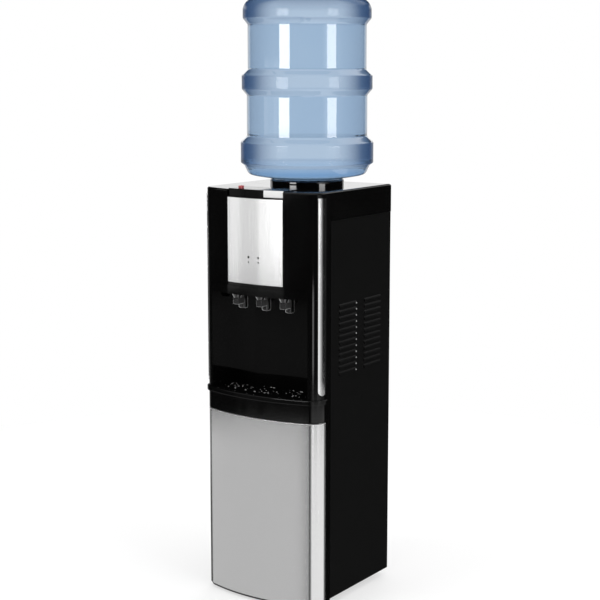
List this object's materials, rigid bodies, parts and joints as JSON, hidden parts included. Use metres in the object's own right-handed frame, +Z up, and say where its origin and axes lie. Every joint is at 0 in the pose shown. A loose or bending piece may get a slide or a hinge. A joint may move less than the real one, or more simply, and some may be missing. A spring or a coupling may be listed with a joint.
{
  "type": "water dispenser",
  "caption": "Floor-standing top-loading water dispenser: bowed cabinet with push keys, tap bay with drip tray, hinged storage door, rear condenser and an inverted ribbed bottle.",
  "frame": {"origin": "on the floor under the middle of the whole object's box", "axes": "+Z up, the user stands on the -Y side, +X to the user's right"},
  "size_m": [0.292, 0.3439, 1.2324],
  "materials": {
    "black_gloss": "high gloss black moulding",
    "black_steel": "black powder coat, fine satin",
    "silver_door": "silver-grey metallic paint",
    "silver_panel": "bright silver facing",
    "silver_key": "silver lacquer",
    "chrome": "bright plating",
    "tap_black": "glossy black moulding",
    "black_plastic": "satin black moulding",
    "red_plastic": "red moulding",
    "liner_white": "vacuum-formed white sheet",
    "rubber_black": "moulded rubber",
    "hose_clear": "silicone hose",
    "rod_white": "acetal rod",
    "zinc_steel": "zinc-coated sheet",
    "tank_steel": "stainless sheet",
    "foam_white": "expanded foam beads",
    "pot_black": "black enamel",
    "copper": "drawn copper tube",
    "lamp_lens": "dark smoked lens",
    "board_green": "circuit board",
    "bottle_blue": "clear blue blow-moulded plastic",
    "cap_blue": "soft moulded cap"
  },
  "bodies": {
    "cabinet": {"back_panel": "zinc_steel", "base_tray": "black_plastic", "bay_liner": "black_gloss", "bottle_collar": "black_gloss", "catch_magnet": "black_plastic", "cold_tank": "tank_steel", "compressor": "pot_black", "compressor_mounts": "rubber_black", "condenser_brackets": "zinc_steel", "condenser_tube": "pot_black", "condenser_wires": "pot_black", "control_panel": "silver_panel", "cord_gland": "black_plastic", "discharge_pipe": "copper", "drain_spout": "black_plastic", "feed_probe": "liner_white", "feet": "rubber_black", "filter_drier": "copper", "front_frame": "black_gloss", "hinge_pins": "zinc_steel", "hot_tank": "tank_steel", "key_shaft": "zinc_steel", "led_board": "board_green", "led_lenses": "lamp_lens", "mid_shelf": "zinc_steel", "panel_screws": "zinc_steel", "side_panel_left": "black_steel", "side_panel_right": "black_steel", "storage_liner": "liner_white", "switch_bezel": "black_plastic", "tank_foam": "foam_white", "tap_cold": "tap_black", "tap_hot": "tap_black", "tap_nuts": "tap_black", "tap_room": "tap_black", "top_cover": "black_gloss", "trim_strips": "chrome", "tube_cold": "hose_clear", "tube_hot": "hose_clear", "tube_room": "hose_clear", "upper_fascia": "black_gloss"},
    "door": {"door_panel": "silver_door", "door_liner": "liner_white", "door_seal": "rubber_black"},
    "key_hot": {"key_hot": "black_gloss"},
    "key_room": {"key_room": "black_gloss"},
    "key_cold": {"key_cold": "silver_key"},
    "child_lock": {"child_lock": "red_plastic"},
    "rod_hot": {"rod_hot": "rod_white"},
    "rod_room": {"rod_room": "rod_white"},
    "rod_cold": {"rod_cold": "rod_white"},
    "drip_tray": {"drip_tray": "black_gloss"},
    "drip_grille": {"drip_grille": "black_gloss"},
    "bottle": {"bottle": "bottle_blue", "bottle_neck": "bottle_blue", "bottle_base": "bottle_blue", "bottle_cap": "cap_blue"},
    "switch_hot": {"switch_hot": "red_plastic"},
    "switch_cold": {"switch_cold": "black_plastic"},
    "drain_cap": {"drain_cap": "black_plastic"}
  },
  "joints": [
    {"name": "door_hinge", "type": "hinge", "parent": "cabinet", "child": "door", "pos_m": [0.135, -0.126, 0.2], "axis": [0, 0, 1], "range_deg": [0, 110]},
    {"name": "key_hot_press", "type": "hinge", "parent": "cabinet", "child": "key_hot", "pos_m": [-0.04493, -0.108, 0.8446], "axis": [1, 0, 0], "range_deg": [0, 5], "stiffness_Nm_per_rad": 2, "springref_deg": -1.72},
    {"name": "rod_hot_slide", "type": "slide", "parent": "cabinet", "child": "rod_hot", "axis": [0, 0, -1], "range_m": [0, 0.0032]},
    {"name": "key_room_press", "type": "hinge", "parent": "cabinet", "child": "key_room", "pos_m": [0, -0.108, 0.8446], "axis": [1, 0, 0], "range_deg": [0, 5], "stiffness_Nm_per_rad": 2, "springref_deg": -1.72},
    {"name": "rod_room_slide", "type": "slide", "parent": "cabinet", "child": "rod_room", "axis": [0, 0, -1], "range_m": [0, 0.0032]},
    {"name": "key_cold_press", "type": "hinge", "parent": "cabinet", "child": "key_cold", "pos_m": [0.04493, -0.108, 0.8446], "axis": [1, 0, 0], "range_deg": [0, 5], "stiffness_Nm_per_rad": 2, "springref_deg": -1.72},
    {"name": "rod_cold_slide", "type": "slide", "parent": "cabinet", "child": "rod_cold", "axis": [0, 0, -1], "range_m": [0, 0.0032]},
    {"name": "child_lock_slide", "type": "slide", "parent": "key_hot", "child": "child_lock", "axis": [0, 1, 0], "range_m": [0, 0.003], "stiffness_N_per_m": 200},
    {"name": "drip_tray_lift", "type": "slide", "parent": "cabinet", "child": "drip_tray", "axis": [0, 0, 1], "range_m": [0, 0.06]},
    {"name": "drip_grille_lift", "type": "slide", "parent": "drip_tray", "child": "drip_grille", "axis": [0, 0, 1], "range_m": [0, 0.05]},
    {"name": "bottle_lift", "type": "slide", "parent": "cabinet", "child": "bottle", "axis": [0, 0, 1], "range_m": [0, 0.12]},
    {"name": "switch_hot_rock", "type": "hinge", "parent": "cabinet", "child": "switch_hot", "pos_m": [0.092, 0.1285, 0.762], "axis": [1, 0, 0], "range_deg": [0, 14]},
    {"name": "switch_cold_rock", "type": "hinge", "parent": "cabinet", "child": "switch_cold", "pos_m": [0.112, 0.1285, 0.762], "axis": [1, 0, 0], "range_deg": [0, 14]},
    {"name": "drain_cap_pull", "type": "slide", "parent": "cabinet", "child": "drain_cap", "axis": [0, 1, 0], "range_m": [0, 0.03]}
  ],
  "couplings": [
    {"joint": "rod_hot_slide", "follows": "key_hot_press", "m_per_rad": 0.0365},
    {"joint": "rod_room_slide", "follows": "key_room_press", "m_per_rad": 0.0365},
    {"joint": "rod_cold_slide", "follows": "key_cold_press", "m_per_rad": 0.0365}
  ]
}
